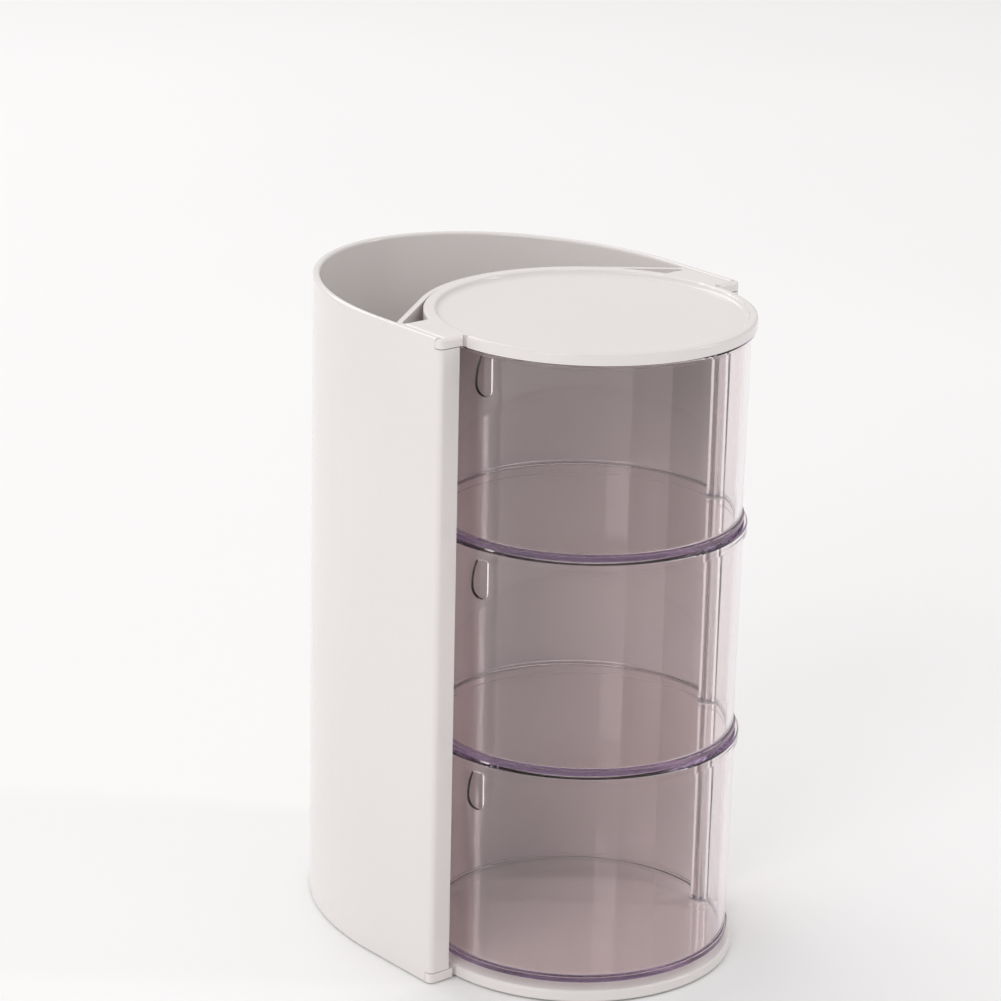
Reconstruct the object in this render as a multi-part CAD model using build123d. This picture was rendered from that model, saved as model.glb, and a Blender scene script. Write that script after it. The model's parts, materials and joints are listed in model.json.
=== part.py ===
from build123d import *
import math
import os

# A desk organiser for make-up: a white U-shaped housing with a brush cup at the back and a round
# bay at the front, where three clear drawers swing out one above another on a single hinge shaft.
# Lengths in millimetres. +Z is up and the drawers open towards -Y. While a piece is made, x = 0 and
# y = 0 lie on the bay's vertical axis; on export everything moves so that the whole object's
# footprint is centred on the origin, with the foot pads' undersides at z = 0.

# ---- whole object ----
total_height = 200.0          # foot pads to the cover's top face
housing_width = 115.0         # across the flat side walls
side_run = 29.0               # straight run of the side walls behind the bay's axis
back_bow = 75.0               # depth of the rounded back behind the straight run
front_line = 1.4              # the housing's front strips stand this far in front of the axis
foot_height = 0.5             # underside of base and housing above the surface they stand on
side_room = 9.7               # from the drawers' rim bands to the housing's outer side faces

# ---- housing ----
housing_wall = 2.2
rim_round = 0.8               # rounding along the housing's top edge
jamb_width = 7.0              # front strips that close the ends of the side walls
jamb_depth = 5.4
jamb_round = 1.6              # outer front corner of each strip
cup_floor_height = 8.0        # underside of the brush cup's floor
cup_floor_thickness = 2.0
part_gap = 0.15               # assembly gap between white pieces that slot together

# ---- wall between the bay and the brush cup ----
bay_clearance = 1.9           # from the rim bands to the inner face of the round part
bay_wall = 1.6
web_angle = 127.6             # the round part runs straight on to the side walls from here
bay_wall_drop = 0.6           # its top edge lies this far below the cover's top face
ledge_width = 1.2             # inner ledge that carries the cover's back edge
ledge_height = 1.5
ledge_half_angle = 36.0

# ---- top cover ----
cover_overhang = 0.6          # its round front stands this far beyond the rim bands
cover_thickness = 3.4
cover_seam = 0.3              # gap between the cover's back edge and the bay wall
ear_thickness = 2.8
ear_lip = 2.6                 # the ears reach the full width only this far back
ear_seam = 0.25               # gap between each ear and the front strip it meets
ear_depth = 20.6
notch_size = 1.4              # small vee where each ear meets the round front
tray_rim = 2.8                # width of the rim left round the tray
tray_depth = 1.4
tray_floor_round = 1.3
edge_round = 0.9

# ---- base plate ----
base_overhang = 0.2           # its round front stands this far beyond the rim bands
base_top = 4.0                # height of its top face
base_ear_top = 3.4
base_edge_round = 0.8

# ---- drawers ----
drawer_wall = 1.8
drawer_floor = 1.6
drawer_height = 65.2          # lower two; the top one fills what is left below the cover
drawer_start = 6.2            # underside of the lowest drawer
drawer_gap = 0.6              # filled by a washer at the hinge
cover_gap = 0.4               # top drawer to cover
drawer_draft = 0.6            # the wall is this much smaller in radius at the floor
floor_lip = 0.5               # the floor's edge stands proud of the wall
band_proud = 1.0              # the rim band stands proud of the wall
band_height = 3.2
top_band_height = 1.2         # the uppermost drawer has only a narrow band
band_round = 0.45             # along the rim and the drawer's foot
band_foot_round = 0.3         # outer edge at the band's foot
inner_round = 0.7             # inside corner between wall and floor

# ---- finger pull: a D-shaped pocket below the rim band ----
pull_angle = 188.4            # at the free end, near the left front strip
pull_width = 6.2
pull_height = 12.1
pull_depth = 1.2

# ---- hinge ----
hinge_inset = 4.0             # hinge axis inside the drawers' outer wall face
hinge_angle = -18.5
shaft_radius = 1.5
running_clearance = 0.05
fixed_clearance = 0.02
barrel_radius = 3.2
washer_radius = 3.4
shaft_socket_depth = 1.2      # blind hole in the cover
shaft_foot = 2.2              # lower end of the shaft
hinge_boss_radius = 4.6

# ---- fasteners, pegs and pads ----
screw_radius = 1.1
screw_head_radius = 2.4
screw_head_height = 1.2
screw_tip_cover = 1.3         # cup floor left above the screw tips
screw_hole_cover = 0.5        # and above their holes
screw_boss_radius = 3.2
screw_inset = 7.3             # front pair of screws, in from the side walls' inner faces
screw_web_gap = 10.2          # and behind the bay wall's straight part
screw_back_spread = 24.0      # back pair of screws, out from the middle
screw_back_inset = 20.0       # and in from the back
drive_radius = 0.9            # hexagon socket in each screw head
drive_depth = 0.7
shaft_screw_radius = 0.8
shaft_screw_length = 6.0
peg_radius = 1.3
peg_length = 5.0
peg_clearance = 0.05
pad_radius = 5.0
pad_recess = 0.4
pad_edge_gap = 1.5            # front pads, in from the base's round edge
pad_front_angle = 48.8        # their direction, forward of the side
pad_back_inset = (23.5, 36.0) # back pads, in from the sides and from the back

# ---- worked out from the values above ----
half_width = housing_width / 2
inner_half = half_width - housing_wall
front_y = -front_line
back_y = side_run + back_bow
band_radius = half_width - side_room
drawer_top_radius = band_radius - band_proud
bay_radius = band_radius + bay_clearance
cover_radius = band_radius + cover_overhang
base_radius = band_radius + base_overhang
tray_radius = cover_radius - tray_rim
hinge_radius = drawer_top_radius - hinge_inset
cover_under = total_height - cover_thickness
ear_under = total_height - ear_thickness
strip_top = ear_under - ear_seam
strip_foot = base_ear_top + ear_seam
hinge_x = hinge_radius * math.cos(math.radians(hinge_angle))
hinge_y = hinge_radius * math.sin(math.radians(hinge_angle))
top_drawer_height = cover_under - cover_gap - drawer_start - 2 * (drawer_height + drawer_gap)
shaft_top = cover_under + shaft_socket_depth
jamb_centre = (half_width - jamb_width / 2, front_y + jamb_depth / 2)
cup_floor_top = cup_floor_height + cup_floor_thickness
web_normal = (math.cos(math.radians(web_angle)), math.sin(math.radians(web_angle)))
screw_head_top = foot_height + screw_head_height
screw_length = cup_floor_top - screw_tip_cover - screw_head_top
screw_x = inner_half - screw_inset
screw_web_y = (bay_radius + bay_wall + web_normal[0] * screw_x) / web_normal[1]
screw_side = (screw_x, screw_web_y + screw_web_gap)
screw_back = (screw_back_spread, back_y - screw_back_inset)
screw_places = [(side * x, y) for x, y in (screw_side, screw_back) for side in (-1, 1)]
pad_ring = base_radius - pad_radius - pad_edge_gap
pad_turn = math.radians(pad_front_angle)
pad_front = (pad_ring * math.cos(pad_turn), -pad_ring * math.sin(pad_turn))
pad_back = (half_width - pad_back_inset[0], back_y - pad_back_inset[1])
pad_places = [(side * x, y) for x, y in (pad_front, pad_back) for side in (-1, 1)]
front_reach = max(cover_radius, base_radius, band_radius)
to_object_frame = Location((0, (front_reach - back_y) / 2, 0))


def block(x0, x1, y0, y1, z0, z1):
    """A box between two corners."""
    return Pos((x0 + x1) / 2, (y0 + y1) / 2, (z0 + z1) / 2) * Box(x1 - x0, y1 - y0, z1 - z0)


def rod(radius, z0, z1, x=0.0, y=0.0):
    """An upright cylinder."""
    return Pos(x, y, (z0 + z1) / 2) * Cylinder(radius, z1 - z0)


def slab(plan, z0, z1):
    """A flat outline pulled up from z0 to z1."""
    return Pos(0, 0, z0) * extrude(plan, z1 - z0)


def round_edges(solid, edges, radius):
    """Fillet the given edges."""
    return fillet(edges, radius) if edges else solid


def edges_at_height(solid, z, kind=None):
    """Level edges at one height, all or of one geometric kind."""
    found = [e for e in solid.edges() if abs(e.bounding_box().min.Z - z) < 0.01]
    found = [e for e in found if abs(e.bounding_box().max.Z - z) < 0.01]
    return [e for e in found if kind is None or e.geom_type == kind]


def housing_plan(inset, front):
    """The U-shaped outline: straight sides and an elliptical back, drawn in by an inset."""
    half = half_width - inset
    bow = EllipticalCenterArc((0, side_run), half, back_bow - inset, start_angle=0, arc_size=180)
    legs = Polyline((-half, side_run), (-half, front), (half, front), (half, side_run))
    return make_face((bow + legs).edges())


def bay_plan(grow, front):
    """The bay seen from above: its round back runs on along two tangents to the side walls."""
    radius = bay_radius + grow
    half = inner_half - part_gap - bay_wall + grow
    knee_y = (radius + web_normal[0] * half) / web_normal[1]
    touch = (radius * web_normal[0], radius * web_normal[1])
    arc = CenterArc((0, 0), radius, 180 - web_angle, 2 * web_angle - 180)
    sides = Polyline(
        touch,
        (-half, knee_y),
        (-half, front),
        (half, front),
        (half, knee_y),
        (-touch[0], touch[1]),
    )
    return make_face((arc + sides).edges())


def make_housing_shell():
    """Side walls, rounded back, front strips and the brush cup's floor, moulded in one."""
    outside = slab(housing_plan(0, front_y), foot_height, total_height)
    hollow = slab(housing_plan(housing_wall, front_y - 1), 0, total_height + 1)
    shell = outside - hollow
    for side in (-1, 1):
        x0, x1 = sorted((side * half_width, side * (half_width - jamb_width)))
        shell += block(x0, x1, front_y, front_y + jamb_depth, strip_foot, strip_top)
    front_corners = [
        e
        for e in shell.edges().filter_by(Axis.Z)
        if abs(abs(e.center().X) - half_width) < 0.01 and abs(e.center().Y - front_y) < 0.01
    ]
    shell = fillet(front_corners, jamb_round)
    lip_back = front_y + ear_lip
    for z0, z1 in ((0, strip_foot), (strip_top, total_height + 1)):
        shell -= block(-half_width - 1, half_width + 1, front_y - 1, lip_back, z0, z1)
    rim = [e for e in edges_at_height(shell, total_height) if e.bounding_box().max.Y > lip_back + 1]
    shell = fillet(rim, rim_round)
    floor_plan = housing_plan(housing_wall, front_y) - bay_plan(bay_wall + part_gap, front_y - 1)
    shell += slab(floor_plan, cup_floor_height, cup_floor_top)
    for x, y in screw_places:
        shell += rod(screw_boss_radius, base_top, cup_floor_height, x, y)
        shell -= rod(screw_radius + fixed_clearance, 0, cup_floor_top - screw_hole_cover, x, y)
    for side in (-1, 1):
        x = side * jamb_centre[0]
        hole = peg_radius + peg_clearance
        shell -= rod(hole, ear_under - peg_length - 1, ear_under, x, jamb_centre[1])
        shell -= rod(hole, base_ear_top, base_ear_top + peg_length + 1, x, jamb_centre[1])
    return shell


def make_bay_partition():
    """The wall between drawers and brush cup, with a ledge under the cover's back edge."""
    foot_y = front_y + jamb_depth + part_gap
    wall_plan = bay_plan(bay_wall, foot_y) - bay_plan(0, foot_y - 1)
    wall = slab(wall_plan, base_top, total_height - bay_wall_drop)
    lip_back = front_y + ear_depth + part_gap
    under_ear = slab(Pos(0, lip_back / 2) * Rectangle(housing_width, lip_back), ear_under, total_height)
    wall -= under_ear
    ledge = rod(bay_radius + bay_wall / 2, cover_under - ledge_height, cover_under)
    ledge -= rod(bay_radius - ledge_width, cover_under - ledge_height, cover_under)
    reach = 2 * bay_radius
    spread = reach * math.tan(math.radians(ledge_half_angle))
    sector = make_face(Polyline((0, 0), (spread, reach), (-spread, reach), close=True).edges())
    return wall + (ledge & slab(sector, 0, total_height))


def make_top_cover():
    """Round lid with a shallow tray on top and two ears that close the housing's front corners."""
    back_radius = bay_radius - cover_seam
    front_half = block(-half_width, half_width, -half_width, front_y, 0, total_height + 1)
    disc = rod(cover_radius, cover_under, total_height) & front_half
    disc += rod(back_radius, cover_under, total_height) - front_half
    inner = inner_half - part_gap
    lip_back = front_y + ear_lip
    ears = block(-half_width, half_width, front_y, lip_back - part_gap, ear_under, total_height)
    front_corners = [e for e in ears.edges().filter_by(Axis.Z) if e.center().Y < front_y + 0.01]
    ears = fillet(front_corners, jamb_round)
    ears += block(-inner, inner, front_y + jamb_round, front_y + ear_depth, ear_under, total_height)
    cover = disc + ears
    tray = rod(tray_radius, total_height - tray_depth, total_height + 1)
    cover -= tray
    cover = fillet(edges_at_height(cover, total_height), edge_round)
    tray_floor = [
        e for e in edges_at_height(cover, total_height - tray_depth, GeomType.CIRCLE)
        if abs(e.radius - tray_radius) < 0.01
    ]
    cover = round_edges(cover, tray_floor, tray_floor_round)
    for side in (-1, 1):
        x = side * cover_radius
        notch = Polyline(
            (x - side * notch_size, front_y - 0.5),
            (x, front_y + notch_size),
            (x + side * notch_size, front_y - 0.5),
            close=True,
        )
        cover -= slab(make_face(notch.edges()), cover_under - 1, total_height + 1)
        cover += rod(peg_radius, ear_under - peg_length, ear_under, side * jamb_centre[0], jamb_centre[1])
    cover -= rod(shaft_radius + fixed_clearance, 0, shaft_top, hinge_x, hinge_y)
    return cover


def make_base_plate():
    """Floor of the whole organiser: it lies inside the housing's walls, with ears at the front."""
    front_half = block(-half_width, half_width, -half_width, front_y, 0, base_top + 1)
    disc = rod(base_radius, foot_height, base_top) & front_half
    disc = fillet(edges_at_height(disc, base_top, GeomType.CIRCLE), base_edge_round)
    disc = fillet(edges_at_height(disc, foot_height, GeomType.CIRCLE), base_edge_round)
    plate = slab(housing_plan(housing_wall + part_gap, front_y + jamb_depth), foot_height, base_top)
    rear = front_y + jamb_depth
    plate += block(-base_radius, base_radius, front_y, rear, foot_height, base_top)
    lip = block(-half_width, half_width, front_y, front_y + ear_lip - part_gap, foot_height, base_ear_top)
    front_corners = [e for e in lip.edges().filter_by(Axis.Z) if e.center().Y < front_y + 0.01]
    plate += fillet(front_corners, jamb_round)
    inner = inner_half - part_gap
    plate += block(-inner, inner, front_y + jamb_round, rear, foot_height, base_ear_top)
    plate += disc
    for side in (-1, 1):
        x = side * jamb_centre[0]
        plate += rod(peg_radius, base_ear_top, base_ear_top + peg_length, x, jamb_centre[1])
        corner = side * base_radius
        notch = Polyline(
            (corner - side * notch_size, front_y - 0.5),
            (corner, front_y + notch_size),
            (corner + side * notch_size, front_y - 0.5),
            close=True,
        )
        plate -= slab(make_face(notch.edges()), 0, base_top + 1)
    plate += rod(hinge_boss_radius, base_top, drawer_start - drawer_gap, hinge_x, hinge_y)
    plate -= rod(shaft_radius + fixed_clearance, shaft_foot, total_height, hinge_x, hinge_y)
    plate -= rod(shaft_screw_radius + fixed_clearance, 0, shaft_foot, hinge_x, hinge_y)
    for x, y in screw_places:
        plate -= rod(screw_radius + fixed_clearance, 0, base_top + 1, x, y)
        plate -= rod(screw_head_radius + part_gap, 0, screw_head_top, x, y)
    plate -= rod(screw_head_radius + part_gap, 0, screw_head_top, hinge_x, hinge_y)
    for x, y in pad_places:
        plate -= rod(pad_radius + part_gap, 0, foot_height + pad_recess, x, y)
    return plate


def pull_outline():
    """The D of the finger pull, x to the right of its middle and y down from the rim band."""
    half = pull_width / 2
    low = pull_height
    top_left = -0.3 * half
    left_arc = ThreePointArc((top_left, 0), (-0.86 * half, -0.37 * low), (-half, -0.73 * low))
    heel = ThreePointArc((-half, -0.73 * low), (-0.62 * half, -0.94 * low), (0.1 * half, -low))
    toe = ThreePointArc((0.1 * half, -low), (0.72 * half, -0.96 * low), (half, -0.84 * low))
    closing = Polyline((half, -0.84 * low), (half, 0), (top_left, 0))
    return make_face((left_arc + heel + toe + closing).edges())


def make_drawer(bottom, height, band):
    """A clear round cup with a rim band, a hinge barrel inside its wall and a finger pull."""
    foot_radius = drawer_top_radius - drawer_draft
    band_foot = height - band
    outline = Polyline(
        (0, 0),
        (foot_radius + floor_lip, 0),
        (foot_radius + floor_lip, drawer_floor),
        (foot_radius, drawer_floor),
        (drawer_top_radius, band_foot),
        (band_radius, band_foot),
        (band_radius, height),
        (drawer_top_radius - drawer_wall, height),
        (foot_radius - drawer_wall, drawer_floor),
        (0, drawer_floor),
        close=True,
    )
    cup = revolve(Plane.XZ * make_face(outline.edges()), Axis.Z)
    lips = edges_at_height(cup, height) + edges_at_height(cup, 0)
    cup = fillet(lips, band_round)
    band_edge = [e for e in edges_at_height(cup, band_foot) if e.radius > band_radius - 0.01]
    cup = fillet(band_edge, band_foot_round)
    inner_corner = [
        e for e in edges_at_height(cup, drawer_floor, GeomType.CIRCLE)
        if abs(e.radius - foot_radius + drawer_wall) < 0.01
    ]
    cup = fillet(inner_corner, inner_round)
    cup += rod(barrel_radius, 0, height, hinge_x, hinge_y)
    cup -= rod(shaft_radius + running_clearance, -1, height + 1, hinge_x, hinge_y)
    turn = math.radians(pull_angle)
    outward = (math.cos(turn), math.sin(turn), 0)
    spot = (drawer_top_radius * outward[0], drawer_top_radius * outward[1], band_foot)
    face = Plane(origin=spot, x_dir=(-outward[1], outward[0], 0), z_dir=outward)
    cup -= extrude(face.offset(1) * pull_outline(), -pull_depth - 1)
    return Pos(0, 0, bottom) * cup


def make_washer(bottom):
    """Spacer ring on the shaft that carries the drawer above it."""
    ring = rod(washer_radius, bottom, bottom + drawer_gap, hinge_x, hinge_y)
    return ring - rod(shaft_radius + running_clearance, bottom - 1, bottom + 2, hinge_x, hinge_y)


def make_screw(x, y, shank, length):
    """Flat-headed screw driven up from below, with a hexagon socket."""
    screw = rod(screw_head_radius, foot_height + fixed_clearance, screw_head_top, x, y)
    screw += rod(shank, screw_head_top, screw_head_top + length, x, y)
    socket = Pos(x, y) * RegularPolygon(drive_radius, 6)
    return screw - slab(socket, 0, foot_height + drive_depth)


def make_hinge_shaft():
    """Steel rod that all three drawers turn on, drilled at its foot for the shaft screw."""
    shaft = rod(shaft_radius, shaft_foot, shaft_top - 0.1, hinge_x, hinge_y)
    drilled = screw_head_top + shaft_screw_length + 1
    return shaft - rod(shaft_screw_radius + fixed_clearance, 0, drilled, hinge_x, hinge_y)


pieces = {
    "housing_shell": make_housing_shell(),
    "bay_partition": make_bay_partition(),
    "top_cover": make_top_cover(),
    "base_plate": make_base_plate(),
    "hinge_shaft": make_hinge_shaft(),
    "shaft_screw": make_screw(hinge_x, hinge_y, shaft_screw_radius, shaft_screw_length),
    "base_screws": Part() + [make_screw(x, y, screw_radius, screw_length) for x, y in screw_places],
}

step = drawer_height + drawer_gap
drawer_sizes = {
    "drawer_bottom": (drawer_start, drawer_height, band_height),
    "drawer_middle": (drawer_start + step, drawer_height, band_height),
    "drawer_top": (drawer_start + 2 * step, top_drawer_height, top_band_height),
}
for number, (name, size) in enumerate(drawer_sizes.items(), start=1):
    pieces[name] = make_drawer(*size)
    pieces[f"hinge_washer_{number}"] = make_washer(size[0] - drawer_gap)

for number, (x, y) in enumerate(pad_places, start=1):
    pieces[f"foot_pad_{number}"] = rod(pad_radius, 0, foot_height + pad_recess, x, y)

os.makedirs("parts", exist_ok=True)
for name, piece in pieces.items():
    export_step(to_object_frame * piece, f"parts/{name}.step")
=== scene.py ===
import json
import math

import bpy
from mathutils import Matrix, Vector

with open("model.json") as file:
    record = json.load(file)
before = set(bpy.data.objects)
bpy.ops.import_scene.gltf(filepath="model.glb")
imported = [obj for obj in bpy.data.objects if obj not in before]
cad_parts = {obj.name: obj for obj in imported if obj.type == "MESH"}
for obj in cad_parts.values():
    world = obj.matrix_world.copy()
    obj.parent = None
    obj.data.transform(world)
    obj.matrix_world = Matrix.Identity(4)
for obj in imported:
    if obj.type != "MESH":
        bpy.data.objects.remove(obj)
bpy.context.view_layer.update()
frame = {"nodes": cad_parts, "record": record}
nodes = frame["nodes"]
bay_y = -0.0278  # the bay's axis, where the drawers stand
mid_height = 0.1
middle = (0.0, 0.0, mid_height)


# --- material helpers ---


def new_material(name):
    """A material with a Principled shader, and its node tree's nodes and links."""
    material = bpy.data.materials.new(name)
    material.use_nodes = True
    tree = material.node_tree
    return material, tree, tree.nodes["Principled BSDF"]


def noise(tree, scale, detail=3.0, rough=0.5, stretch=(1.0, 1.0, 1.0)):
    """Noise in the piece's own coordinates, which are the shared frame's."""
    where = tree.nodes.new("ShaderNodeTexCoord")
    mapping = tree.nodes.new("ShaderNodeMapping")
    mapping.inputs["Scale"].default_value = stretch
    texture = tree.nodes.new("ShaderNodeTexNoise")
    texture.inputs["Scale"].default_value = scale
    texture.inputs["Detail"].default_value = detail
    texture.inputs["Roughness"].default_value = rough
    tree.links.new(where.outputs["Object"], mapping.inputs["Vector"])
    tree.links.new(mapping.outputs["Vector"], texture.inputs["Vector"])
    return texture.outputs["Fac"]


def ramp(tree, value, low, high):
    """A colour that goes from low to high with value."""
    colours = tree.nodes.new("ShaderNodeValToRGB")
    colours.color_ramp.elements[0].position = 0.3
    colours.color_ramp.elements[0].color = (*low, 1.0)
    colours.color_ramp.elements[1].position = 0.7
    colours.color_ramp.elements[1].color = (*high, 1.0)
    tree.links.new(value, colours.inputs["Fac"])
    return colours.outputs["Color"]


def spread(tree, value, low, high):
    """value from 0.3 to 0.7 stretched to run from low to high."""
    remap = tree.nodes.new("ShaderNodeMapRange")
    remap.inputs["From Min"].default_value = 0.3
    remap.inputs["From Max"].default_value = 0.7
    remap.inputs["To Min"].default_value = low
    remap.inputs["To Max"].default_value = high
    tree.links.new(value, remap.inputs["Value"])
    return remap.outputs["Result"]


def add_bump(tree, shader, height, depth, strength):
    """A fine relief of that depth in metres on a shader's normal."""
    bump = tree.nodes.new("ShaderNodeBump")
    bump.inputs["Strength"].default_value = strength
    bump.inputs["Distance"].default_value = depth
    tree.links.new(height, bump.inputs["Height"])
    tree.links.new(bump.outputs["Normal"], shader.inputs["Normal"])


def white_plastic():
    material, tree, shader = new_material("white_plastic")
    mottle = noise(tree, 14.0, 2.0, 0.4)
    tint = ramp(tree, mottle, (0.785, 0.748, 0.735), (0.805, 0.77, 0.757))
    tree.links.new(tint, shader.inputs["Base Color"])
    tree.links.new(spread(tree, noise(tree, 45.0, 2.0), 0.13, 0.18), shader.inputs["Roughness"])
    add_bump(tree, shader, noise(tree, 60.0, 1.0, 0.3, (1.0, 1.0, 0.4)), 0.00006, 0.15)
    shader.inputs["IOR"].default_value = 1.5
    shader.inputs["Coat Weight"].default_value = 0.2
    shader.inputs["Coat Roughness"].default_value = 0.06
    return material


def clear_plastic():
    material, tree, shader = new_material("clear_plastic")
    # The rosy tint is painted light: it stands in for warm colour reflected from the drawers' pink
    # contents, which are left out, and for the warm shade inside the bay seen through the walls. The
    # noise varies it a little at random.
    rosy_tint_noise = noise(tree, 30.0, 3.0)
    tint = ramp(tree, rosy_tint_noise, (0.97, 0.925, 0.918), (0.98, 0.94, 0.934))
    tree.links.new(tint, shader.inputs["Base Color"])
    tree.links.new(spread(tree, noise(tree, 120.0, 3.0), 0.012, 0.035), shader.inputs["Roughness"])
    add_bump(tree, shader, noise(tree, 70.0, 2.0, 0.4, (1.0, 1.0, 0.35)), 0.00005, 0.25)
    shader.inputs["IOR"].default_value = 1.49
    shader.inputs["Transmission Weight"].default_value = 1.0
    out = tree.nodes["Material Output"]
    # absorption shows where the view runs a long way inside a wall, as at the rims
    absorb = tree.nodes.new("ShaderNodeVolumeAbsorption")
    absorb.inputs["Color"].default_value = (0.56, 0.19, 0.92, 1.0)
    absorb.inputs["Density"].default_value = 8.0
    tree.links.new(absorb.outputs["Volume"], out.inputs["Volume"])
    # shadow rays pass through the walls, so they don't darken what lies behind them
    path = tree.nodes.new("ShaderNodeLightPath")
    through = tree.nodes.new("ShaderNodeBsdfTransparent")
    # light passing through takes the same painted rosy tint
    through.inputs["Color"].default_value = (0.985, 0.962, 0.958, 1.0)
    mix = tree.nodes.new("ShaderNodeMixShader")
    tree.links.new(path.outputs["Is Shadow Ray"], mix.inputs["Fac"])
    tree.links.new(shader.outputs["BSDF"], mix.inputs[1])
    tree.links.new(through.outputs["BSDF"], mix.inputs[2])
    tree.links.new(mix.outputs["Shader"], out.inputs["Surface"])
    return material


def steel():
    material, tree, shader = new_material("steel")
    grain = noise(tree, 900.0, 3.0, 0.5, (1.0, 1.0, 0.03))
    tint = ramp(tree, grain, (0.58, 0.58, 0.59), (0.72, 0.72, 0.73))
    tree.links.new(tint, shader.inputs["Base Color"])
    tree.links.new(spread(tree, grain, 0.2, 0.34), shader.inputs["Roughness"])
    add_bump(tree, shader, grain, 0.000005, 0.3)
    shader.inputs["Metallic"].default_value = 1.0
    return material


def washer_nylon():
    material, tree, shader = new_material("washer")
    cloud = noise(tree, 400.0, 3.0)
    tint = ramp(tree, cloud, (0.74, 0.73, 0.71), (0.82, 0.81, 0.80))
    tree.links.new(tint, shader.inputs["Base Color"])
    tree.links.new(spread(tree, cloud, 0.4, 0.5), shader.inputs["Roughness"])
    add_bump(tree, shader, noise(tree, 2500.0, 2.0), 0.00001, 0.3)
    return material


def pad_rubber():
    material, tree, shader = new_material("foot_pad")
    cloud = noise(tree, 500.0, 3.0)
    tint = ramp(tree, cloud, (0.52, 0.52, 0.51), (0.60, 0.60, 0.59))
    tree.links.new(tint, shader.inputs["Base Color"])
    tree.links.new(spread(tree, cloud, 0.55, 0.7), shader.inputs["Roughness"])
    add_bump(tree, shader, noise(tree, 3000.0, 2.0), 0.00001, 0.4)
    return material


looks = {
    "white_plastic": white_plastic(),
    "clear_plastic": clear_plastic(),
    "steel": steel(),
    "washer": washer_nylon(),
    "foot_pad": pad_rubber(),
}
for row in frame["record"]["subparts"]:
    piece = nodes[row["node"]]
    for slot in piece.material_slots:
        slot.material = looks[row["material_slot"]]


# --- floor, light and camera ---


def floor_material():
    material, tree, shader = new_material("floor")
    cloud = noise(tree, 2.0, 2.0)
    tint = ramp(tree, cloud, (0.93, 0.93, 0.93), (0.95, 0.95, 0.95))
    tree.links.new(tint, shader.inputs["Base Color"])
    shader.inputs["Roughness"].default_value = 0.7
    shader.inputs["Specular IOR Level"].default_value = 0.2
    return material


def make_floor():
    mesh = bpy.data.meshes.new("floor")
    half = 6.0
    corners = [(-half, -half, 0.0), (half, -half, 0.0), (half, half, 0.0), (-half, half, 0.0)]
    mesh.from_pydata(corners, [], [(0, 1, 2, 3)])
    mesh.materials.append(floor_material())
    floor = bpy.data.objects.new("floor", mesh)
    bpy.context.collection.objects.link(floor)


def area_light(name, place, aim, size, power, colour=(1.0, 1.0, 1.0)):
    lamp = bpy.data.lights.new(name, "AREA")
    lamp.shape = "RECTANGLE"
    lamp.size, lamp.size_y = size
    lamp.energy = power
    lamp.color = colour
    light = bpy.data.objects.new(name, lamp)
    light.location = place
    light.rotation_euler = (Vector(aim) - Vector(place)).to_track_quat("-Z", "Y").to_euler()
    bpy.context.collection.objects.link(light)


def make_world():
    """Soft grey-white surroundings, brightest to the left and above, dimmest in front on the right."""
    world = bpy.data.worlds.new("studio")
    bpy.context.scene.world = world
    world.use_nodes = True
    tree = world.node_tree
    where = tree.nodes.new("ShaderNodeTexCoord")
    towards = tree.nodes.new("ShaderNodeVectorMath")
    towards.operation = "DOT_PRODUCT"
    towards.inputs[1].default_value = (-0.15, 0.35, 0.50)
    level = tree.nodes.new("ShaderNodeMapRange")
    level.inputs["From Min"].default_value = -1.0
    level.inputs["From Max"].default_value = 1.0
    level.inputs["To Min"].default_value = 0.24
    level.inputs["To Max"].default_value = 1.06
    tree.links.new(where.outputs["Generated"], towards.inputs[0])
    tree.links.new(towards.outputs["Value"], level.inputs["Value"])
    tree.links.new(level.outputs["Result"], tree.nodes["Background"].inputs["Strength"])
    tree.nodes["Background"].inputs["Color"].default_value = (1.0, 0.985, 0.98, 1.0)


def make_camera():
    """The photograph's view: azimuth, elevation and roll, with the lens that fits its perspective."""
    azimuth, elevation, roll = math.radians(-39.570), math.radians(18.137), math.radians(1.258)
    aim = Vector((0.0, bay_y, mid_height))
    across, upward, away = 0.024699, -0.039133, 1.13103
    back = Vector((
        math.sin(azimuth) * math.cos(elevation),
        -math.cos(azimuth) * math.cos(elevation),
        math.sin(elevation),
    ))
    side = (-back).cross(Vector((0.0, 0.0, 1.0))).normalized()
    top = side.cross(-back)
    right = side * math.cos(roll) + top * math.sin(roll)
    up = top * math.cos(roll) - side * math.sin(roll)
    place = aim - right * across - up * upward + back * away
    turn = Matrix((right, up, back)).transposed().to_4x4()
    lens = bpy.data.cameras.new("camera")
    lens.sensor_width = 36.0
    lens.lens = 135.62
    lens.clip_end = 50.0
    camera = bpy.data.objects.new("camera", lens)
    camera.matrix_world = Matrix.Translation(place) @ turn
    bpy.context.collection.objects.link(camera)
    bpy.context.scene.camera = camera


make_floor()
make_world()
area_light("key", (-1.5, -0.5, 1.1), middle, (1.0, 0.8), 6.5)
area_light("side", (1.1, -1.0, 0.9), middle, (0.16, 0.8), 2.6)
area_light("back", (0.2, 1.5, 1.3), middle, (1.4, 0.8), 6.0)
make_camera()
bpy.context.scene.view_settings.view_transform = "Standard"
bounces = 24  # light turns often inside the drawers' clear walls
bpy.context.scene.cycles.max_bounces = bounces
bpy.context.scene.cycles.transmission_bounces = bounces
bpy.context.scene.cycles.glossy_bounces = bounces
bpy.context.scene.cycles.transparent_max_bounces = bounces
